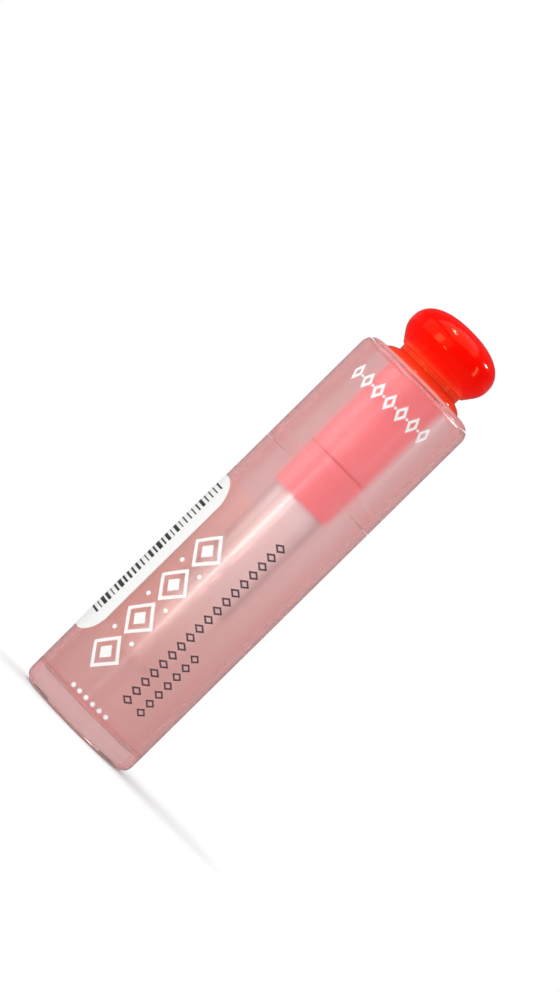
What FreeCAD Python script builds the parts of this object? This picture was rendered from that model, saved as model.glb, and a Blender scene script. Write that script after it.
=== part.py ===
import FreeCAD, Part
import math
import os

# Twist-up lip balm stick, in millimetres. It stands on the closed end of its cap, with its
# axis on Z and its knob up. The front is -Y, and the label wraps the left side, -X.

# Fits, each counted as a gap on one side
running_gap = 0.05
bonded_gap = 0.02
seam_gap = 0.15
stop_gap = 0.2

# The two clear shells
case_radius = 10.0
case_wall = 1.1
rim_round = 0.18
cap_height = 48.1
cap_floor = 3.1
cap_corner = 1.7
cap_inner_corner = 1.0
foot_recess_radius = 5.0
foot_recess_depth = 0.6
foot_recess_round = 0.25
tongue_wall = 0.5
tongue_height = 2.3
base_height = 20.45
base_top_wall = 1.0
base_corner = 1.6
base_inner_corner = 0.8

# The white film label on the cap
label_thickness = 0.06
label_low = 10.3
label_height = 29.7
label_width = 22.0
label_corner = 4.0
label_start = 48.0

# The red core and the clear tube in it
core_radius = 5.1
core_edge_round = 0.15
collar_drop = 3.5
collar_rise = 4.1
collar_draft = 0.2
collar_end_round = 0.25
joint_gap = 0.1
tube_radius = 4.5
tube_wall = 0.4
tube_length = 39.4
tube_mouth_round = 0.12
rib_count = 4
rib_height = 0.2
rib_width = 0.6
rib_first_angle = 45.0

# The red collar on top, with the bearing of the knob
shoulder_radius = 7.1
shoulder_height = 1.2
shoulder_bulge = 0.18
shoulder_top_radius = 5.6
bearing_depth = 4.3
bearing_wall = 1.15
shoulder_skirt_wall = 1.0
shoulder_web = 1.2

# The knob and the ring under it
neck_radius = 5.5
neck_bead = 0.2
ring_height = 0.37
foot_height = 0.41
knob_radius = 7.48
knob_rim_radius = 3.5
knob_crown_height = 4.4
knob_cone_angle = 36.0
knob_cone_radius = 5.75
knob_boss_wall = 1.1
knob_pocket_radius = 4.3
knob_pocket_depth = 4.0

# The two-start screw
journal_radius = 1.6
square_side = 2.2
square_length = 4.5
flange_radius = 2.8
flange_height = 0.8
thread_lead = 6.0
thread_starts = 2
thread_root_radius = 1.15
thread_crest_radius = 1.75
thread_root_width = 1.3
thread_crest_width = 0.9
thread_gap = 0.15
thread_runout = 1.0
thread_bite = 0.2

# The carrier and the balm, which stands out of the tube at rest
balm_out = 13.0
feed_room = 8.0
balm_tip_round = 1.6
balm_bore_end = 1.0
balm_bore_gap = 0.15
hub_radius = 2.9
hub_height = 2.2
disc_height = 1.6
cup_wall = 0.6
cup_cover = 0.6
cup_depth = 3.0
key_gap = 0.1
lug_turns = 0.25

# Heights that follow from the sizes above
mouth_z = cap_height + tongue_height
base_low_z = cap_height + seam_gap
case_top_z = base_low_z + base_height
case_inner_radius = case_radius - case_wall
tongue_radius = case_inner_radius + tongue_wall
bearing_low_z = case_top_z - bearing_depth
core_bore_radius = tube_radius + bonded_gap
core_joint_z = cap_height + collar_rise
tube_low_z = bearing_low_z - tube_length
tube_inner_radius = tube_radius - tube_wall
rib_crest_radius = tube_inner_radius - rib_height
shoulder_top_z = case_top_z + shoulder_height
ring_low_z = shoulder_top_z + running_gap
foot_low_z = ring_low_z + ring_height + bonded_gap
knob_cone_z = foot_low_z + foot_height
flange_top_z = bearing_low_z - running_gap
flange_low_z = flange_top_z - flange_height
hub_top_z = flange_low_z - stop_gap - balm_out
disc_top_z = hub_top_z - hub_height
disc_low_z = disc_top_z - disc_height
balm_tip_z = tube_low_z - balm_out
balm_radius = rib_crest_radius - running_gap
carrier_radius = tube_inner_radius - running_gap
screw_tip_z = disc_low_z - feed_room - thread_runout
nut_bore_radius = thread_crest_radius + thread_gap

AXIS = FreeCAD.Vector(0, 0, 1)
CENTRE = FreeCAD.Vector(0, 0, 0)


def point(radius, height):
    """A point of a turned outline, in the plane of X and Z."""
    return FreeCAD.Vector(radius, 0, height)


def rounded_edges(corners):
    """Edges through (radius, height, rounding) corners, with each rounding as a tangent arc."""
    edges = []
    ends = []
    count = len(corners)
    for i in range(count):
        here = point(corners[i][0], corners[i][1])
        rounding = corners[i][2]
        if rounding == 0:
            ends.append((here, here))
            continue
        before = point(corners[i - 1][0], corners[i - 1][1]) - here
        after = point(corners[(i + 1) % count][0], corners[(i + 1) % count][1]) - here
        half_angle = before.getAngle(after) / 2
        before.normalize()
        after.normalize()
        inward = before + after
        inward.normalize()
        reach = rounding / math.tan(half_angle)
        sagitta = rounding / math.sin(half_angle) - rounding
        start = here + before * reach
        end = here + after * reach
        edges.append(Part.Arc(start, here + inward * sagitta, end).toShape())
        ends.append((start, end))
    for i in range(count):
        leaving = ends[i - 1][1]
        arriving = ends[i][0]
        if not leaving.isEqual(arriving, 1e-7):
            edges.append(Part.LineSegment(leaving, arriving).toShape())
    return edges


def turned_from_edges(edges):
    """The solid of revolution of a closed outline."""
    wire = Part.Wire(Part.__sortEdges__(edges))
    return Part.Face(wire).revolve(CENTRE, AXIS, 360)


def turned(corners):
    """The solid of revolution of rounded corners."""
    return turned_from_edges(rounded_edges(corners))


def bulged_edge(start, end, bulge):
    """An arc between two outline points, that stands out to the right of the way by bulge."""
    chord = end - start
    across = FreeCAD.Vector(chord.z, 0, -chord.x)
    across.normalize()
    middle = (start + end) * 0.5
    return Part.Arc(start, middle + across * bulge, end).toShape()


def line(start, end):
    return Part.LineSegment(start, end).toShape()


def helix_bars(low_z, high_z, offset_z, inner, outer, inner_width, outer_width):
    """Left-hand bars of the screw's lead, one per start, whose middles run from low_z to high_z."""
    start = (low_z - screw_tip_z - offset_z) / thread_lead * 360
    helix = Part.Wire(Part.makeHelix(thread_lead, high_z - low_z, outer).Edges)
    corners = [
        point(inner, -inner_width / 2),
        point(outer, -outer_width / 2),
        point(outer, outer_width / 2),
        point(inner, inner_width / 2),
    ]
    section = Part.makePolygon(corners + corners[:1])
    bar = helix.makePipeShell([section], True, True)
    bar.rotate(CENTRE, AXIS, start)
    bar.translate(FreeCAD.Vector(0, 0, low_z))
    bar = bar.mirror(CENTRE, FreeCAD.Vector(0, 1, 0))
    bars = []
    for i in range(thread_starts):
        copy = bar.copy()
        copy.rotate(CENTRE, AXIS, 360 * i / thread_starts)
        bars.append(copy)
    return bars


def radial_bars(count, first_angle, inner, outer, width, low_z, high_z):
    """Straight bars along Z, evenly spaced about the axis."""
    bars = []
    for i in range(count):
        bar = Part.makeBox(outer - inner, width, high_z - low_z, FreeCAD.Vector(inner, -width / 2, low_z))
        bar.rotate(CENTRE, AXIS, first_angle + 360 * i / count)
        bars.append(bar)
    return bars


def cap_shell():
    """Clear cup with a thick floor, a shallow recess under it and a thin tongue at its mouth."""
    return turned([
        (0, foot_recess_depth, 0),
        (foot_recess_radius, foot_recess_depth, foot_recess_round),
        (foot_recess_radius, 0, foot_recess_round),
        (case_radius, 0, cap_corner),
        (case_radius, cap_height, rim_round),
        (tongue_radius, cap_height, 0),
        (tongue_radius, mouth_z, rim_round),
        (case_inner_radius, mouth_z, rim_round),
        (case_inner_radius, cap_floor, cap_inner_corner),
        (0, cap_floor, 0),
    ])


def barcode_label():
    """Thin film round the cap, with rounded corners."""
    outer = Part.makeCylinder(case_radius + label_thickness, label_height, FreeCAD.Vector(0, 0, label_low))
    inner = Part.makeCylinder(case_radius, label_height, FreeCAD.Vector(0, 0, label_low))
    sheet = outer.cut(inner)
    reach = 2 * case_radius
    span = math.degrees(label_width / case_radius)
    for turn in (180 - label_start, -label_start - span):
        corner = FreeCAD.Vector(0, -reach, label_low)
        slab = Part.makeBox(reach, 2 * reach, label_height, corner)
        end_edges = []
        for edge in slab.Edges:
            middle = edge.CenterOfMass
            if math.hypot(middle.x, middle.y) < label_thickness:
                end_edges.append(edge)
        slab = slab.makeFillet(label_corner, end_edges)
        slab.rotate(CENTRE, AXIS, turn)
        sheet = sheet.common(slab)
    return sheet


def base_shell():
    """Clear skirt with a rounded top, a hole for the core and a lap over the cap's tongue."""
    lap_radius = tongue_radius + running_gap
    lap_top_z = mouth_z + seam_gap
    ceiling_z = case_top_z - base_top_wall
    return turned([
        (core_bore_radius, case_top_z, 0),
        (case_radius, case_top_z, base_corner),
        (case_radius, base_low_z, rim_round),
        (lap_radius, base_low_z, 0),
        (lap_radius, lap_top_z, 0),
        (case_inner_radius, lap_top_z, 0),
        (case_inner_radius, ceiling_z, base_inner_corner),
        (core_bore_radius, ceiling_z, 0),
    ])


def shoulder_collar():
    """Red flared collar: a skirt down into the sleeve, a web, and the bearing boss."""
    skirt_inner = tube_radius - shoulder_skirt_wall
    bore = journal_radius + running_gap
    boss = bore + bearing_wall
    web_z = case_top_z - shoulder_web
    foot = point(shoulder_radius, case_top_z)
    top = point(shoulder_top_radius, shoulder_top_z)
    edges = [
        line(point(bore, bearing_low_z), point(boss, bearing_low_z)),
        line(point(boss, bearing_low_z), point(boss, web_z)),
        line(point(boss, web_z), point(skirt_inner, web_z)),
        line(point(skirt_inner, web_z), point(skirt_inner, bearing_low_z)),
        line(point(skirt_inner, bearing_low_z), point(tube_radius, bearing_low_z)),
        line(point(tube_radius, bearing_low_z), point(tube_radius, case_top_z)),
        line(point(tube_radius, case_top_z), foot),
        bulged_edge(foot, top, shoulder_bulge),
        line(top, point(bore, shoulder_top_z)),
        line(point(bore, shoulder_top_z), point(bore, bearing_low_z)),
    ]
    return turned_from_edges(edges)


def core_sleeve():
    """Red sleeve between the top wall and the collar below."""
    ceiling_z = case_top_z - base_top_wall
    low_z = core_joint_z + joint_gap / 2
    return turned([
        (core_bore_radius, low_z, 0),
        (core_radius, low_z, core_edge_round),
        (core_radius, ceiling_z, 0),
        (core_bore_radius, ceiling_z, 0),
    ])


def tube_collar():
    """Red collar with a slight draft, whose end passes the seam into the cap."""
    low_z = cap_height - collar_drop
    high_z = core_joint_z - joint_gap / 2
    return turned([
        (core_bore_radius, low_z, 0),
        (core_radius - collar_draft, low_z, collar_end_round),
        (core_radius, high_z, core_edge_round),
        (core_bore_radius, high_z, 0),
    ])


def guide_tube():
    """Clear tube with ribs along its bore, that keep the carrier from turning."""
    tube = turned([
        (tube_inner_radius, tube_low_z, tube_mouth_round),
        (tube_radius, tube_low_z, tube_mouth_round),
        (tube_radius, bearing_low_z, 0),
        (tube_inner_radius, bearing_low_z, 0),
    ])
    middle = tube_radius - tube_wall / 2
    low_z = tube_low_z + tube_mouth_round
    ribs = radial_bars(rib_count, rib_first_angle, rib_crest_radius, middle, rib_width, low_z, bearing_low_z)
    return tube.fuse(ribs).removeSplitter()


def beaded_ring(low_z, high_z, inner):
    """A ring whose outer face bulges to the neck's radius."""
    root = neck_radius - neck_bead
    bottom = point(root, low_z)
    top = point(root, high_z)
    edges = [
        line(point(inner, low_z), bottom),
        bulged_edge(bottom, top, neck_bead),
        line(top, point(inner, high_z)),
        line(point(inner, high_z), point(inner, low_z)),
    ]
    return turned_from_edges(edges)


def neck_ring():
    """Red ring that turns with the knob, just clear of the collar."""
    return beaded_ring(ring_low_z, ring_low_z + ring_height, journal_radius + bonded_gap)


def knob_head():
    """Red mushroom: a beaded foot, a cone, a round rim and a flatter crown, with a square socket."""
    slope = math.radians(knob_cone_angle)
    rim_r = knob_radius - knob_rim_radius
    cone_top_r = rim_r + knob_rim_radius * math.cos(slope)
    cone_top_z = knob_cone_z + (cone_top_r - knob_cone_radius) / math.tan(slope)
    widest_z = cone_top_z + knob_rim_radius * math.sin(slope)
    top_z = widest_z + knob_crown_height
    crown = rim_r ** 2 + knob_crown_height ** 2 - knob_rim_radius ** 2
    crown = crown / (2 * (knob_crown_height - knob_rim_radius))
    rim_z = widest_z - (top_z - crown)
    lean = math.atan2(rim_r, rim_z)
    meet = point(crown * math.sin(lean), top_z - crown + crown * math.cos(lean))
    partway = point(crown * math.sin(lean / 2), top_z - crown + crown * math.cos(lean / 2))
    widest = point(knob_radius, widest_z)
    cone_top = point(cone_top_r, cone_top_z)
    cone_low = point(knob_cone_radius, knob_cone_z)
    axis_low = point(0, knob_cone_z)
    axis_top = point(0, top_z)
    head = turned_from_edges([
        line(axis_low, cone_low),
        line(cone_low, cone_top),
        Part.Arc(cone_top, widest, meet).toShape(),
        Part.Arc(meet, partway, axis_top).toShape(),
        line(axis_top, axis_low),
    ])
    foot = beaded_ring(foot_low_z, knob_cone_z, journal_radius)
    socket_side = square_side + 2 * bonded_gap
    boss = socket_side / math.sqrt(2) + knob_boss_wall
    depth = knob_pocket_depth
    pocket = Part.makeCylinder(knob_pocket_radius, depth, point(0, foot_low_z))
    pocket = pocket.cut(Part.makeCylinder(boss, depth, point(0, foot_low_z)))
    corner = FreeCAD.Vector(-socket_side / 2, -socket_side / 2, foot_low_z)
    socket = Part.makeBox(socket_side, socket_side, square_length + stop_gap, corner)
    core = Part.makeCylinder(boss, foot_height, point(0, foot_low_z))
    return head.fuse([foot, core]).cut(pocket).cut(socket).removeSplitter()


def spindle():
    """Screw with a journal, a thrust flange and a square head for the knob."""
    journal = Part.makeCylinder(journal_radius, foot_low_z - flange_top_z, point(0, flange_top_z))
    corner = FreeCAD.Vector(-square_side / 2, -square_side / 2, foot_low_z)
    square = Part.makeBox(square_side, square_side, square_length, corner)
    flange = Part.makeCylinder(flange_radius, flange_height, point(0, flange_low_z))
    root = Part.makeCylinder(thread_root_radius, flange_low_z - screw_tip_z, point(0, screw_tip_z))
    margin = thread_root_width
    bars = helix_bars(
        screw_tip_z + margin,
        flange_low_z - margin,
        0,
        thread_root_radius - thread_bite,
        thread_crest_radius,
        thread_root_width,
        thread_crest_width,
    )
    return root.fuse(bars).fuse([journal, square, flange])


def carrier():
    """Nut with short lugs in the screw's grooves, slots for the tube's ribs and a cup for the balm."""
    cup_outer = balm_radius - cup_cover
    body = turned([
        (nut_bore_radius, disc_low_z, 0),
        (cup_outer - cup_wall, disc_low_z, 0),
        (cup_outer - cup_wall, disc_low_z - cup_depth, 0),
        (cup_outer, disc_low_z - cup_depth, 0),
        (cup_outer, disc_low_z, 0),
        (carrier_radius, disc_low_z, 0),
        (carrier_radius, disc_top_z, 0),
        (hub_radius, disc_top_z, 0),
        (hub_radius, hub_top_z, 0),
        (nut_bore_radius, hub_top_z, 0),
    ])
    slots = radial_bars(
        rib_count,
        rib_first_angle,
        rib_crest_radius - key_gap,
        carrier_radius + key_gap,
        rib_width + 2 * key_gap,
        disc_low_z,
        disc_top_z,
    )
    groove = thread_lead / thread_starts
    middle_z = (disc_low_z + hub_top_z) / 2
    half_rise = lug_turns * thread_lead / 2
    lugs = helix_bars(
        middle_z - half_rise,
        middle_z + half_rise,
        groove / 2,
        thread_root_radius + thread_gap,
        nut_bore_radius + thread_bite,
        groove - thread_root_width - 2 * thread_gap,
        groove - thread_crest_width - 2 * thread_gap,
    )
    return body.cut(slots).fuse(lugs)


def balm():
    """Stick of balm with a rounded tip, cast round the carrier's cup, with a bore for the screw."""
    cup_outer = balm_radius - cup_cover + bonded_gap
    cup_inner = balm_radius - cup_cover - cup_wall - bonded_gap
    cup_low_z = disc_low_z - cup_depth - bonded_gap
    bore = thread_crest_radius + balm_bore_gap
    bore_low_z = screw_tip_z - balm_out - balm_bore_end
    return turned([
        (0, balm_tip_z, 0),
        (balm_radius, balm_tip_z, balm_tip_round),
        (balm_radius, disc_low_z, 0),
        (cup_outer, disc_low_z, 0),
        (cup_outer, cup_low_z, 0),
        (cup_inner, cup_low_z, 0),
        (cup_inner, disc_low_z, 0),
        (bore, disc_low_z, 0),
        (bore, bore_low_z, 0),
        (0, bore_low_z, 0),
    ])


nodes = {
    "cap_shell": cap_shell,
    "barcode_label": barcode_label,
    "base_shell": base_shell,
    "shoulder_collar": shoulder_collar,
    "core_sleeve": core_sleeve,
    "tube_collar": tube_collar,
    "guide_tube": guide_tube,
    "neck_ring": neck_ring,
    "knob_head": knob_head,
    "spindle": spindle,
    "carrier": carrier,
    "balm": balm,
}

os.makedirs("parts", exist_ok=True)
for name, make in nodes.items():
    shape = make()
    shape.exportStep(os.path.join("parts", name + ".step"))
    box = shape.BoundBox
    print(name, len(shape.Solids), shape.isValid(), round(shape.Volume, 2), round(box.ZMin, 2), round(box.ZMax, 2))
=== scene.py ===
import bmesh
import bpy
import math
from mathutils import Matrix, Vector


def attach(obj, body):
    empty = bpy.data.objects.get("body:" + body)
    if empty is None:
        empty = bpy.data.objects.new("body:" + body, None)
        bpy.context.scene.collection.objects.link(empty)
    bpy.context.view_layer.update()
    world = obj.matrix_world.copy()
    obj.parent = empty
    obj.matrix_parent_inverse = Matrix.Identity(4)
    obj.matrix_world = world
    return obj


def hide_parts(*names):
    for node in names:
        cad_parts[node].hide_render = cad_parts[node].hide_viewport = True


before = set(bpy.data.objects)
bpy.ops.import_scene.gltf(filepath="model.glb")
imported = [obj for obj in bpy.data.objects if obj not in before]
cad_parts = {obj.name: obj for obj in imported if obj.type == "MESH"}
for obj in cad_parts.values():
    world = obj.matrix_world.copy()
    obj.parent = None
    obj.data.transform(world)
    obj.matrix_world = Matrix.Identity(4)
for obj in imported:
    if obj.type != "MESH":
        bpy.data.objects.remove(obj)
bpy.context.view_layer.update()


# Spindle and carrier: the two-start screw that the knob turns, and the nut that rides on it.
# Both are moulded in natural white polypropylene with a fine satin skin, and the spindle's
# square head is pressed into the knob.

class Finish:
    """A value of a finish over the surface; arithmetic on it adds Math nodes."""

    def __init__(self, tree, socket=None):
        self.tree = tree
        self.socket = socket

    def node(self, kind, settings, sockets, out=0):
        """Add a node: its settings first, then its sockets' values or links. Gives one output."""
        made = self.tree.nodes.new("ShaderNode" + kind)
        for name, setting in settings.items():
            setattr(made, name, setting)
        for name, value in sockets.items():
            if isinstance(value, Finish):
                self.tree.links.new(value.socket, made.inputs[name])
            else:
                made.inputs[name].default_value = value
        return Finish(self.tree, made.outputs[out] if made.outputs else None)

    def output(self, out):
        """Another output of the same node."""
        return Finish(self.tree, self.socket.node.outputs[out])

    def maths(self, operation, *others, clamp=False):
        """A Math node on this value, followed by the others."""
        settings = {"operation": operation, "use_clamp": clamp}
        return self.node("Math", settings, dict(enumerate((self, *others))))

    def __add__(self, other):
        return self.maths("ADD", other)

    def __sub__(self, other):
        return self.maths("SUBTRACT", other)

    def __rsub__(self, other):
        return self.node("Math", {"operation": "SUBTRACT"}, {0: other, 1: self})

    def __mul__(self, other):
        return self.maths("MULTIPLY", other)

    def __truediv__(self, other):
        return self.maths("DIVIDE", other)

    def __pow__(self, other):
        return self.maths("POWER", other)

    def __abs__(self):
        return self.maths("ABSOLUTE")

    def __neg__(self):
        return self.maths("MULTIPLY", -1)

    __radd__ = __add__
    __rmul__ = __mul__

    def clamped(self):
        return self.maths("ADD", 0, clamp=True)

    def above(self, limit):
        return self.maths("GREATER_THAN", limit)

    def below(self, limit):
        return self.maths("LESS_THAN", limit)

    def larger(self, other):
        return self.maths("MAXIMUM", other)

    def colour(self, first, second):
        """The colour that goes from first to second as this value goes from 0 to 1."""
        factor, colour_a, colour_b, colour_result = 0, 6, 7, 2
        sockets = {factor: self, colour_a: first, colour_b: second}
        return self.node("Mix", {"data_type": "RGBA"}, sockets, out=colour_result)


def new_finish(name):
    """An empty material, its nodes, and the place on the piece in metres."""
    material = bpy.data.materials.new(name)
    material.use_nodes = True
    material.node_tree.nodes.clear()
    finish = Finish(material.node_tree)
    place = finish.node("TexCoord", {}, {}, out="Object")
    return material, finish, place


white_plastic, finish, place = new_finish("natural_white_plastic")
flow = finish.node("TexNoise", {}, {"Vector": place, "Scale": 260, "Detail": 3})
grain = finish.node("TexNoise", {}, {"Vector": place, "Scale": 9000, "Detail": 2})
skin = finish.node("Bump", {}, {"Height": grain, "Strength": 0.12, "Distance": 0.00003})
natural_white = flow.colour((0.86, 0.85, 0.82, 1), (0.92, 0.92, 0.90, 1))
plastic = finish.node("BsdfPrincipled", {}, {
    "Base Color": natural_white,
    "Roughness": 0.36 + 0.16 * flow,
    "Normal": skin,
})
finish.node("OutputMaterial", {}, {"Surface": plastic})
for node in ("spindle", "carrier"):
    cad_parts[node].material_slots[0].material = white_plastic


# Balm: the soft stick itself, poured pale and milky into the tube and round the carrier's cup.
# Its tip is rounded by the mould, and its skin is smooth and a little greasy, with faint rings
# where it set in the tube. A paler cream streak along its front-left is a painted highlight,
# under a really glossier coat.

MM = 0.001
SIDES = 128
RING_TOLERANCE = 0.004
MERGE_DISTANCE = 0.0000005


def pick_ring(piece, radius, height):
    """Select the ring of edges at a radius and a height in mm."""
    bpy.ops.mesh.select_all(action="DESELECT")
    mesh = bmesh.from_edit_mesh(piece.data)
    for edge in mesh.edges:
        on_ring = True
        for vertex in edge.verts:
            off_radius = math.hypot(vertex.co.x, vertex.co.y) / MM - radius
            off_height = vertex.co.z / MM - height
            if abs(off_radius) > RING_TOLERANCE or abs(off_height) > RING_TOLERANCE:
                on_ring = False
        if on_ring:
            edge.select_set(True)
    bmesh.update_edit_mesh(piece.data)


def turned_piece(name, corners, solid, smooth_angle=32):
    """A piece turned about the stick's axis through (radius, height, rounding) corners in mm.
    A circle is extruded from corner to corner, its ends are filled if the piece is solid on the
    axis or bridged if it is a ring, and the corners with a rounding are bevelled."""
    bpy.ops.object.select_all(action="DESELECT")
    radius, height, _ = corners[0]
    bpy.ops.mesh.primitive_circle_add(vertices=SIDES, radius=radius * MM)
    piece = bpy.context.object
    piece.name = name
    piece.data.name = name
    bpy.ops.object.mode_set(mode="EDIT")
    bpy.ops.mesh.select_mode(type="EDGE")
    bpy.ops.mesh.select_all(action="SELECT")
    bpy.ops.transform.translate(value=(0, 0, height * MM))
    for next_radius, next_height, _ in corners[1:]:
        rise = (0, 0, (next_height - height) * MM)
        bpy.ops.mesh.extrude_edges_move(TRANSFORM_OT_translate={"value": rise})
        growth = next_radius / radius
        centre = (0, 0, next_height * MM)
        bpy.ops.transform.resize(value=(growth, growth, 1), center_override=centre)
        radius, height = next_radius, next_height
    if solid:
        for radius, height, _ in (corners[0], corners[-1]):
            pick_ring(piece, radius, height)
            bpy.ops.mesh.edge_face_add()
    else:
        bpy.ops.mesh.select_all(action="DESELECT")
        bpy.ops.mesh.select_non_manifold()
        bpy.ops.mesh.bridge_edge_loops()
    for radius, height, rounding in corners:
        if rounding:
            pick_ring(piece, radius, height)
            segments = 3 + round(3 * rounding)
            bpy.ops.mesh.bevel(offset=rounding * MM, segments=segments, affect="EDGES")
    bpy.ops.mesh.select_all(action="SELECT")
    bpy.ops.mesh.remove_doubles(threshold=MERGE_DISTANCE)
    bpy.ops.mesh.normals_make_consistent(inside=False)
    bpy.ops.object.mode_set(mode="OBJECT")
    bpy.ops.object.shade_smooth_by_angle(angle=math.radians(smooth_angle))
    bpy.ops.object.modifier_add(type="WEIGHTED_NORMAL")
    piece.modifiers[-1].keep_sharp = True
    piece.modifiers[-1].weight = 100
    bpy.ops.object.modifier_apply(modifier=piece.modifiers[-1].name)
    return piece


def round_place(finish, place):
    """The place on a round piece: the radius in mm, the turn in radians from the front towards
    the right, and the height in mm."""
    x = finish.node("SeparateXYZ", {}, {"Vector": place})
    y, z = x.output("Y"), x.output("Z")
    return (x * x + y * y) ** 0.5 / MM, x.maths("ARCTAN2", -y), z / MM


tip_height = 12.0
cup_height = 46.55
balm_radius = 3.85
bore_radius = 1.9
balm = turned_piece("balm_stick", [
    (0.8, tip_height, 0),
    (balm_radius, tip_height, 1.6),
    (balm_radius, cup_height, 0),
    (3.27, cup_height, 0),
    (3.27, 43.53, 0),
    (2.63, 43.53, 0),
    (2.63, cup_height, 0),
    (bore_radius, cup_height, 0),
    (bore_radius, 23.55, 0),
    (0.8, 23.55, 0),
], solid=True)

balm_wax, finish, place = new_finish("milky_balm")
_, turn, up = round_place(finish, place)
cloud = finish.node("TexNoise", {}, {
    "Vector": place,
    "Scale": 320,
    "Detail": 4,
    "Roughness": 0.6,
})
ripple = (up * 5.2 + cloud * 4).maths("SINE") * 0.5 + 0.5
# Painted highlight: a paler cream streak down the front-left of the balm, where the lamps glint.
# Its coat is also really glossier there.
highlight_turn = -0.46
highlight_half_width = 0.34
off_highlight = abs(turn - highlight_turn + 0.08 * cloud)
painted_highlight = ((highlight_half_width - off_highlight) / 0.08).clamped() * ((up - tip_height) / 14).clamped()
tip = ((30 - up) / 16).clamped()
upper = ((up - 41.1) / 0.5).clamped()
milky = cloud.colour((0.86, 0.78, 0.76, 1), (0.92, 0.84, 0.82, 1))
milky = tip.colour(milky, (0.74, 0.56, 0.53, 1))
milky = upper.colour(milky, (0.92, 0.90, 0.90, 1))
milky = painted_highlight.colour(milky, (0.99, 0.98, 0.92, 1))
relief = cloud + ripple * 0.1
skin = finish.node("Bump", {}, {"Height": relief, "Strength": 0.15, "Distance": 0.0001})
wax = finish.node("BsdfPrincipled", {}, {
    "Base Color": milky,
    "Roughness": 0.26 + 0.12 * cloud,
    "Normal": skin,
    "Specular IOR Level": 1.0,
    "Coat Weight": 0.1 + 0.9 * painted_highlight,
    "Coat Roughness": 0.2,
    "Coat IOR": 2.6,
})
finish.node("OutputMaterial", {}, {"Surface": wax})
balm.data.materials.append(balm_wax)
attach(balm, "carrier")
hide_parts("balm")


# Guide tube: clear moulded tube that the balm comes out of, with four fine ribs along its bore
# that key the carrier. It is polished like the tool it was moulded in, with slight drag lines
# along it and a faint haze. Its sides are darkened with painted shade, and it is bonded into the
# red core by its upper end.

clear_plastic, finish, place = new_finish("clear_tube_plastic")
stretched = finish.node("Mapping", {}, {"Vector": place, "Scale": (1, 1, 0.04)})
drag = finish.node("TexNoise", {}, {"Vector": stretched, "Scale": 2600, "Detail": 3})
lines = finish.node("Bump", {}, {"Height": drag, "Strength": 0.06, "Distance": 0.00005})
glass = finish.node("BsdfPrincipled", {}, {
    "Base Color": (0.985, 0.975, 0.975, 1),
    "Roughness": 0.02 + 0.07 * drag,
    "IOR": 1.4,
    "Transmission Weight": 1.0,
    "Normal": lines,
})
# Painted shade: by the facing angle, the haze layer turns dark grey and covers more towards the
# tube's sides. A faint real haze stays all over.
side = finish.node("LayerWeight", {}, {"Blend": 0.5}, out="Facing") ** 1.3
haze_and_side_shade = finish.node("BsdfPrincipled", {}, {
    "Base Color": (side * 3).clamped().colour((0.97, 0.96, 0.95, 1), (0.42, 0.36, 0.37, 1)),
    "Roughness": 0.2 + 0.1 * drag,
    "Normal": lines,
})
haze_and_side_shade_amount = 0.02 + 0.03 * drag + 0.8 * side
glass = finish.node("MixShader", {}, {0: haze_and_side_shade_amount, 1: glass, 2: haze_and_side_shade})
ray = finish.node("LightPath", {}, {}, out="Is Shadow Ray")
lighting = ray.larger(ray.output("Is Diffuse Ray"))
passing = finish.node("BsdfTransparent", {}, {"Color": (1, 1, 1, 1)})
tube_wall = finish.node("MixShader", {}, {0: lighting, 1: glass, 2: passing})
finish.node("OutputMaterial", {}, {"Surface": tube_wall})
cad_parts["guide_tube"].material_slots[0].material = clear_plastic


# Red core: a collar and a sleeve moulded in red, pushed on the tube end to end with a thin joint
# between them, and the coral round that joint is painted darker as painted shade in the groove.
# Through the hazy case they look coral, and are coloured so. The collar passes the seam into the
# cap.

joint_height = 52.21
core_bore = 4.52
core_radius = 5.1
tube_collar = turned_piece("core_collar", [
    (core_bore, 44.6, 0.1),
    (4.9, 44.6, 0.25),
    (core_radius, joint_height - 0.02, 0.14),
    (core_bore, joint_height - 0.02, 0),
], solid=False)
core_sleeve = turned_piece("core_sleeve_red", [
    (core_bore, joint_height + 0.02, 0),
    (core_radius, joint_height + 0.02, 0.14),
    (core_radius, 67.7, 0),
    (core_bore, 67.7, 0),
], solid=False)

coral_plastic, finish, place = new_finish("coral_core_plastic")
_, _, up = round_place(finish, place)
flow = finish.node("TexNoise", {}, {
    "Vector": place,
    "Scale": 190,
    "Detail": 3,
    "Distortion": 0.6,
})
# Painted shade: a darker band of coral about 0.2 mm either side of the joint.
joint_shade = (1.5 - abs(up - joint_height) / 0.2).clamped()
coral = flow.colour((0.98, 0.225, 0.255, 1), (1.0, 0.265, 0.295, 1))
coral = joint_shade.colour(coral, (0.88, 0.16, 0.185, 1))
plastic = finish.node("BsdfPrincipled", {}, {
    "Base Color": coral,
    "Roughness": 0.22 + 0.10 * flow,
    "Specular IOR Level": 0.4,
})
finish.node("OutputMaterial", {}, {"Surface": plastic})
for piece, node in ((tube_collar, "tube_collar"), (core_sleeve, "core_sleeve")):
    piece.data.materials.append(coral_plastic)
    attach(piece, "base")
    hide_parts(node)


# Base shell: clear pink skirt, moulded in slightly hazy plastic. Its top wall sits under the red
# collar, and its lower lip laps over the cap's tongue. A row of small white lozenges is printed
# round its front.

case_radius = 10.0
inner_radius = 8.9


def ink(distance):
    """Full print where the distance, in mm, is below zero, with an edge 0.06 mm wide."""
    return (0.5 - distance / 0.06).clamped()


def row(value, start, pitch, count):
    """A value in mm, measured from the middle of its cell in a row, and 1 within the row."""
    cell = (value - start) / pitch
    offset = (cell - cell.maths("FLOOR") - 0.5) * pitch
    return offset, cell.above(0) * cell.below(count)


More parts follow.
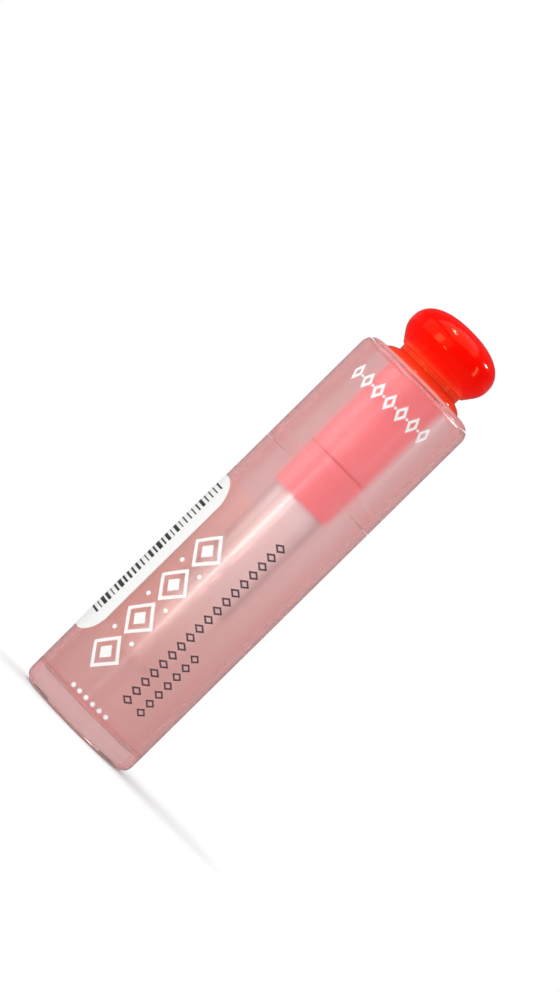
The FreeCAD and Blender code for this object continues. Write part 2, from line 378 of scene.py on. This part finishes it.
def lozenge(across, along, half_width, half_height):
    """Distance outside a lozenge, in mm."""
    slant = half_width * half_height / math.hypot(half_width, half_height)
    return (abs(across) / half_width + abs(along) / half_height - 1) * slant


def disc(across, along, radius):
    """Distance outside a disc, in mm."""
    return (across * across + along * along) ** 0.5 - radius


def pink_finish(name, draw):
    """Hazy pink clear plastic. For the way round from the front and the way up, both in mm, draw
    gives the white ink, the dark ink and the thick edges that look milky."""
    material, finish, place = new_finish(name)
    radius, turn, up = round_place(finish, place)
    around = turn * case_radius
    outside = radius.above(9.97)
    inside = radius.below(9.3)
    white, dark, edges = draw(around, up)
    white = white * outside
    dark = dark * outside
    flow = finish.node("TexNoise", {}, {
        "Vector": place,
        "Scale": 90,
        "Detail": 3,
        "Distortion": 0.4,
    })
    grain = finish.node("TexNoise", {}, {"Vector": place, "Scale": 1500, "Detail": 2})
    relief = flow * 2 + grain * 0.2
    skin = finish.node("Bump", {}, {"Height": relief, "Strength": 0.006, "Distance": 0.0002})

    # The wall is tinted glass under a thin haze, deeper towards the foot and at grazing angles.
    rim = finish.node("LayerWeight", {}, {"Blend": 0.5}, out="Facing")
    rim = ((rim - 0.42) / 0.16).clamped()
    low = ((42 - up) / 36).clamped()
    tint = low.colour((0.99, 0.80, 0.798, 1), (0.962, 0.722, 0.70, 1))
    tint = rim.colour(tint, (0.985, 0.58, 0.565, 1))
    glass = finish.node("BsdfPrincipled", {}, {
        "Base Color": tint,
        "Roughness": 0.13 + 0.05 * flow + 0.13 * inside,
        "IOR": 1.3,
        "Transmission Weight": 1.0,
        "Normal": skin,
    })
    pink = flow.colour((0.86, 0.32, 0.33, 1), (0.90, 0.40, 0.40, 1))
    pink = rim.colour(pink, (0.92, 0.40, 0.40, 1))
    pink = edges.colour(pink, (0.95, 0.48, 0.48, 1))
    printed = white.colour(pink, (0.92, 0.91, 0.89, 1))
    printed = dark.colour(printed, (0.05, 0.045, 0.06, 1))
    haze_and_ink = finish.node("BsdfPrincipled", {}, {
        "Base Color": printed,
        "Roughness": 0.16 + 0.08 * flow,
        "Normal": skin,
    })
    haze = 0.04 + 0.05 * flow + 0.16 * rim + 0.4 * edges
    cover = (haze + white * 0.9 + dark * 0.9).clamped()
    wall = finish.node("MixShader", {}, {0: cover, 1: glass, 2: haze_and_ink})

    # The faces of the lap lie on each other and hardly show.
    lap_sides = radius.above(9.3) * radius.below(9.6)
    lap_ends = radius.above(8.92) * radius.below(9.6) * up.above(50.48) * up.below(50.58)
    lap = lap_sides.larger(lap_ends)
    clear = finish.node("BsdfTransparent", {}, {"Color": (1, 1, 1, 1)})
    wall = finish.node("MixShader", {}, {0: lap * 0.92, 1: wall, 2: clear})

    # Light passes the wall to what is inside, and less of it goes through to the floor. The
    # label's inner side counts as inside.
    under_label = around.below(-8.3) * around.above(-30.5) * up.above(10.2) * up.below(40.1)
    outer_face = outside.larger(up.below(1.8)) * (1 - under_label)
    from_outside = 1 - finish.node("NewGeometry", {}, {}, out="Backfacing")
    passing = finish.node("BsdfTransparent", {}, {"Color": (0.995, 0.965, 0.965, 1)})
    dimming = finish.node("BsdfTransparent", {}, {"Color": (0.34, 0.30, 0.30, 1)})
    passing = finish.node("MixShader", {}, {0: outer_face * from_outside, 1: passing, 2: dimming})
    ray = finish.node("LightPath", {}, {}, out="Is Shadow Ray")
    lighting = ray.larger(ray.output("Is Diffuse Ray")) * (1 - white) * (1 - dark)
    wall = finish.node("MixShader", {}, {0: lighting, 1: wall, 2: passing})
    finish.node("OutputMaterial", {}, {"Surface": wall})
    return material


def base_print(around, along):
    pitch = 2.3
    off_row = along - 63.2
    across, in_row = row(around, -9.2, pitch, 7)
    frames = ink(lozenge(across, off_row, 0.85, 1.5)) - ink(lozenge(across, off_row, 0.35, 0.65))
    between, in_gaps = row(around, -9.2 + pitch / 2, pitch, 6)
    dots = ink(disc(between, off_row, 0.22))
    no_dark_ink = around * 0
    top_edge = ((along - 67.3) / 1.0).clamped()
    return frames * in_row + dots * in_gaps, no_dark_ink, top_edge


base_top = 68.7
base_foot = 48.2
base_shell = turned_piece("base_skirt", [
    (core_bore, base_top, 0),
    (case_radius, base_top, 2.0),
    (case_radius, base_foot, 0.07),
    (9.45, base_foot, 0),
    (9.45, 50.55, 0),
    (inner_radius, 50.55, 0),
    (inner_radius, 67.7, 0.8),
    (core_bore, 67.7, 0),
], solid=False)
base_shell.data.materials.append(pink_finish("hazy_pink_base", base_print))
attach(base_shell, "base")
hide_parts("base_shell")


# Shoulder collar: red flared ring on top of the skirt, moulded in glossy plastic, with a short
# skirt of its own pushed into the core and the knob's bearing bored through its middle.

red_plastic, finish, place = new_finish("glossy_red_plastic")
_, _, up = round_place(finish, place)
flow = finish.node("TexNoise", {}, {
    "Vector": place,
    "Scale": 190,
    "Detail": 3,
    "Distortion": 0.6,
})
grain = finish.node("TexNoise", {}, {"Vector": place, "Scale": 2400, "Detail": 2})
relief = grain + flow * 3
skin = finish.node("Bump", {}, {"Height": relief, "Strength": 0.05, "Distance": 0.0001})
# Painted light: below the knob's cone, on its beaded foot, the neck ring and the whole shoulder,
# the red is painted orange, standing in for strong light there.
painted_light_low = ((71.6 - up) / 0.6).clamped()
red = flow.colour((0.97, 0.0008, 0.0002, 1), (0.99, 0.0025, 0.0006, 1))
red = painted_light_low.colour(red, (0.99, 0.048, 0.014, 1))
plastic = finish.node("BsdfPrincipled", {}, {
    "Base Color": red,
    "Roughness": 0.10 + 0.06 * flow,
    "Normal": skin,
    "Specular IOR Level": 0.27,
    "Specular Tint": (1.0, 0.82, 0.25, 1),
})
finish.node("OutputMaterial", {}, {"Surface": plastic})

bearing_radius = 1.65
collar_foot = 64.4
collar_top = 69.9
shoulder = turned_piece("shoulder_ring", [
    (bearing_radius, collar_foot, 0),
    (2.8, collar_foot, 0),
    (2.8, 67.5, 0),
    (3.5, 67.5, 0),
    (3.5, collar_foot, 0),
    (4.5, collar_foot, 0),
    (4.5, base_top, 0),
    (7.1, base_top, 0),
    (7.01, 68.86, 0),
    (6.78, 69.11, 0),
    (6.36, 69.40, 0),
    (5.98, 69.58, 0),
    (5.66, 69.71, 0),
    (5.5, 69.84, 0),
    (5.44, collar_top, 0),
    (bearing_radius, collar_top, 0),
], solid=False)
shoulder.data.materials.append(red_plastic)
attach(shoulder, "base")
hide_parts("shoulder_collar")


# Neck ring and knob: the red ring and the mushroom knob that turn together on the spindle. The
# knob is moulded with a beaded foot, a cone, a full round rim and a flatter crown, all in
# glossy red.

neck_ring = turned_piece("neck_band", [
    (1.62, 69.93, 0),
    (5.45, 69.93, 0),
    (5.51, 70.01, 0.08),
    (5.51, 70.25, 0.08),
    (5.45, 70.33, 0),
    (1.62, 70.33, 0),
], solid=False)

rim_radius = 7.48
rim_height = 74.268
rim_rounding = 3.5
crown_rise = 4.4
crown_fullness = 0.85
rim_curve = []
for step in range(6):
    turn = math.radians(7.2 * step - 36)
    radius = rim_radius - rim_rounding + rim_rounding * math.cos(turn)
    rim_curve.append((radius, rim_height + rim_rounding * math.sin(turn), 0))
for step in range(1, 18):
    turn = math.radians(5 * step)
    radius = rim_radius * math.cos(turn) ** crown_fullness
    rim_curve.append((radius, rim_height + crown_rise * math.sin(turn) ** crown_fullness, 0))
knob_foot = 70.34
knob = turned_piece("knob_mushroom", [
    (1.59, 75.04, 0),
    (1.59, knob_foot, 0),
    (2.68, knob_foot, 0),
    (2.68, 74.34, 0),
    (4.3, 74.34, 0),
    (4.3, knob_foot, 0),
    (5.45, knob_foot, 0),
    (5.51, 70.42, 0.08),
    (5.51, 70.64, 0.08),
    (5.48, 70.69, 0),
    (5.76, 70.77, 0.1),
    *rim_curve,
    (0.3, 78.666, 0),
], solid=True)
for piece, node in ((neck_ring, "neck_ring"), (knob, "knob_head")):
    piece.data.materials.append(red_plastic)
    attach(piece, "knob")
    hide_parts(node)


# Cap shell: clear pink cup, moulded with a thick floor, a shallow recess and a gate mark under
# it, and a thin tongue at its mouth. Its front is printed with a chain of white lozenges and
# dots, two rows of small dark lozenge beads, and a few white dots below.

def cap_print(around, along):
    chain_pitch = 6.6
    rise, in_chain = row(along, 7.6, chain_pitch, 4)
    across = around + 4.3
    frames = ink(lozenge(across, rise, 2.7, 3.1)) - ink(lozenge(across, rise, 2.0, 2.3))
    middles = ink(lozenge(across, rise, 1.1, 1.25))
    gap, in_gaps = row(along, 7.6 + chain_pitch / 2, chain_pitch, 3)
    dots = ink(disc(abs(across) - 1.9, gap, 0.36))
    low, in_low_row = row(around, -4.8, 1.3, 6)
    low_dots = ink(disc(low, along - 4.5, 0.36)) * in_low_row
    white = (frames + middles) * in_chain + dots * in_gaps + low_dots
    line = 0.13
    rows_of_beads = []
    for middle, count in ((2.75, 18), (5.6, 7)):
        bead, in_beads = row(along, 7.5, 1.75, count)
        outline = lozenge(around - middle, bead, 0.95, 0.72)
        rows_of_beads.append(ink(abs(outline + line) - line) * in_beads)
    thick_foot = ((3.6 - along) / 0.8).clamped()
    return white, rows_of_beads[0] + rows_of_beads[1], thick_foot * 0.45


cap_mouth = 48.1
tongue_top = 50.52
cap_shell = turned_piece("cap_cup", [
    (0.3, 0.44, 0),
    (0.45, 0.6, 0.04),
    (5.0, 0.6, 0.25),
    (5.0, 0.0, 0.25),
    (case_radius, 0.0, 1.7),
    (case_radius, cap_mouth, 0.07),
    (9.4, cap_mouth, 0),
    (9.4, tongue_top, 0.02),
    (inner_radius, tongue_top, 0),
    (inner_radius, 3.1, 1.0),
    (0.8, 3.1, 0),
], solid=True)
cap_shell.data.materials.append(pink_finish("hazy_pink_cap", cap_print))
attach(cap_shell, "cap")
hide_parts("cap_shell")


# Label: white polypropylene film stuck round the left and back of the cap, with rounded corners
# and a plain block of printed bars. Its inner side, seen through the cap, is painted paler and
# warmer than its outside, painted light standing in for light coming through the film.

white_film, finish, place = new_finish("printed_white_film")
radius, turn, up = round_place(finish, place)
outer_side = radius.above(10.03)
to_the_left = -turn * case_radius
bars_start = 13.4
bar_pitch = 0.84
off_bar, in_block = row(up, bars_start, bar_pitch, 30)
bar_number = ((up - bars_start) / bar_pitch).maths("FLOOR")
pick = finish.node("TexWhiteNoise", {"noise_dimensions": "1D"}, {"W": bar_number})
bars = ink(abs(off_bar) - (0.09 + 0.26 * pick * pick)) * in_block
bars = bars * to_the_left.above(11.0) * to_the_left.below(24.4)
fibre = finish.node("TexNoise", {}, {"Vector": place, "Scale": 1400, "Detail": 4})
paper = fibre.colour((0.83, 0.83, 0.81, 1), (0.88, 0.88, 0.87, 1))
# Painted light: the inner side gets a paler, warmer white than the paper outside.
paper = outer_side.colour((0.99, 0.95, 0.88, 1), paper)
printed = (bars * outer_side).colour(paper, (0.045, 0.04, 0.04, 1))
skin = finish.node("Bump", {}, {"Height": fibre, "Strength": 0.1, "Distance": 0.00004})
film = finish.node("BsdfPrincipled", {}, {
    "Base Color": printed,
    "Roughness": 0.42 + 0.12 * fibre,
    "Normal": skin,
})
finish.node("OutputMaterial", {}, {"Surface": film})
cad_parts["barcode_label"].material_slots[0].material = white_film


# Stage: a plain white floor that keeps the stick's shadow near its foot, in a white room under
# soft lamps, and the camera at the height of the stick's middle, rolled so that the stick leans
# up to the right.

bpy.ops.object.select_all(action="DESELECT")
bpy.ops.mesh.primitive_circle_add(vertices=64, radius=4, fill_type="NGON", location=(0, 0, 0))
floor = bpy.context.object
floor.name = "floor"
floor_white, finish, place = new_finish("floor_white")
x = finish.node("SeparateXYZ", {}, {"Vector": place})
y = x.output("Y")
away = (x * x + y * y) ** 0.5
shadow_reach = 0.16
floor_reach = 3.6
seen = finish.node("LightPath", {}, {})
matte = finish.node("BsdfDiffuse", {}, {"Color": (0.9, 0.9, 0.9, 1)})
shadowed = finish.node("BsdfDiffuse", {}, {"Color": (0.95, 0.95, 0.95, 1)})
white = finish.node("Emission", {}, {"Color": (1, 1, 1, 1), "Strength": 1.0})
pale = finish.node("Emission", {}, {"Color": (1, 1, 1, 1), "Strength": 0.6})
dull = finish.node("Emission", {}, {"Color": (1, 1, 1, 1), "Strength": 0.12})
to_camera = finish.node("MixShader", {}, {
    0: (away / shadow_reach).clamped(),
    1: shadowed,
    2: white,
})
through_glass = finish.node("MixShader", {}, {
    0: (away / floor_reach).clamped(),
    1: pale,
    2: white,
})
ground = finish.node("MixShader", {}, {0: seen.output("Is Camera Ray"), 1: matte, 2: to_camera})
ground = finish.node("MixShader", {}, {0: seen.output("Is Glossy Ray"), 1: ground, 2: dull})
ground = finish.node("MixShader", {}, {
    0: seen.output("Is Transmission Ray"),
    1: ground,
    2: through_glass,
})
finish.node("OutputMaterial", {}, {"Surface": ground})
floor.data.materials.append(floor_white)

world = bpy.data.worlds.new("studio")
world.use_nodes = True
world.node_tree.nodes.clear()
studio = Finish(world.node_tree)
seen = studio.node("LightPath", {}, {})
by_camera = seen.output("Is Camera Ray")
way = studio.node("TexCoord", {}, {}, out="Generated")
x = studio.node("SeparateXYZ", {}, {"Vector": way})
y, z = x.output("Y"), x.output("Z")
behind = (y * 1.6 + 0.3).clamped() * (1.0 - z * 3).clamped()
dim = (x * 0.7 - y * 0.7).clamped()
level = (0.60 - 0.25 * dim) * (1 - by_camera) + by_camera
level = level.larger(seen.output("Is Transmission Ray"))
mirrored = seen.output("Is Glossy Ray") * (1 - by_camera)
level = level + mirrored * (0.15 * behind - 0.51 + 0.21 * dim)
sky = studio.node("Background", {}, {"Color": (1, 1, 1, 1), "Strength": level})
studio.node("OutputWorld", {}, {"Surface": sky})
bpy.context.scene.world = world

middle = Vector((0, 0, 0.04))


def lamp(name, direction, distance, width, height, power):
    """A soft rectangular lamp that looks at the middle of the stick."""
    light = bpy.data.lights.new(name, "AREA")
    light.shape = "RECTANGLE"
    light.size = width
    light.size_y = height
    light.energy = power
    holder = bpy.data.objects.new(name, light)
    holder.visible_camera = False
    bpy.context.scene.collection.objects.link(holder)
    way = Vector(direction).normalized()
    holder.location = middle + way * distance
    holder.rotation_euler = (-way).to_track_quat("-Z", "Y").to_euler()


lamp("left_softbox", (-0.80, -0.58, 0.40), distance=0.65, width=1.15, height=0.55, power=1.1)
lamp("front_softbox", (-0.66, -0.75, 0.05), distance=0.7, width=0.24, height=0.55, power=1.15)
lamp("top_softbox", (-0.10, -0.05, 1.0), distance=0.6, width=0.7, height=0.7, power=1.3)
lamp("top_lamp", (-0.25, -0.02, 0.97), distance=0.5, width=0.12, height=0.04, power=0.45)
lamp("right_lamp", (0.60, 0.35, 0.72), distance=0.6, width=0.05, height=0.05, power=0.6)
lamp("right_strip", (0.94, -0.31, 0.29), distance=0.6, width=0.08, height=0.3, power=0.34)
lamp("stripe_lamp", (-0.29, -0.956, -0.0286), distance=0.7, width=0.035, height=0.036, power=0.16)

camera = bpy.data.objects.new("camera", bpy.data.cameras.new("camera"))
bpy.context.scene.collection.objects.link(camera)
camera.data.lens = 180.72
camera.data.sensor_width = 36
camera.data.clip_end = 20
camera_place = (-0.00255, -0.7, 0.04325)
right = Vector((0.702, 0, 0.712))
up = Vector((-0.712, 0, 0.702))
back = Vector((0, -1, 0))
roll = Matrix((right, up, back)).transposed()
camera.matrix_world = Matrix.Translation(camera_place) @ roll.to_4x4()
bpy.context.scene.camera = camera
bpy.context.scene.cycles.transparent_max_bounces = 24
bpy.context.scene.view_settings.view_transform = "Standard"
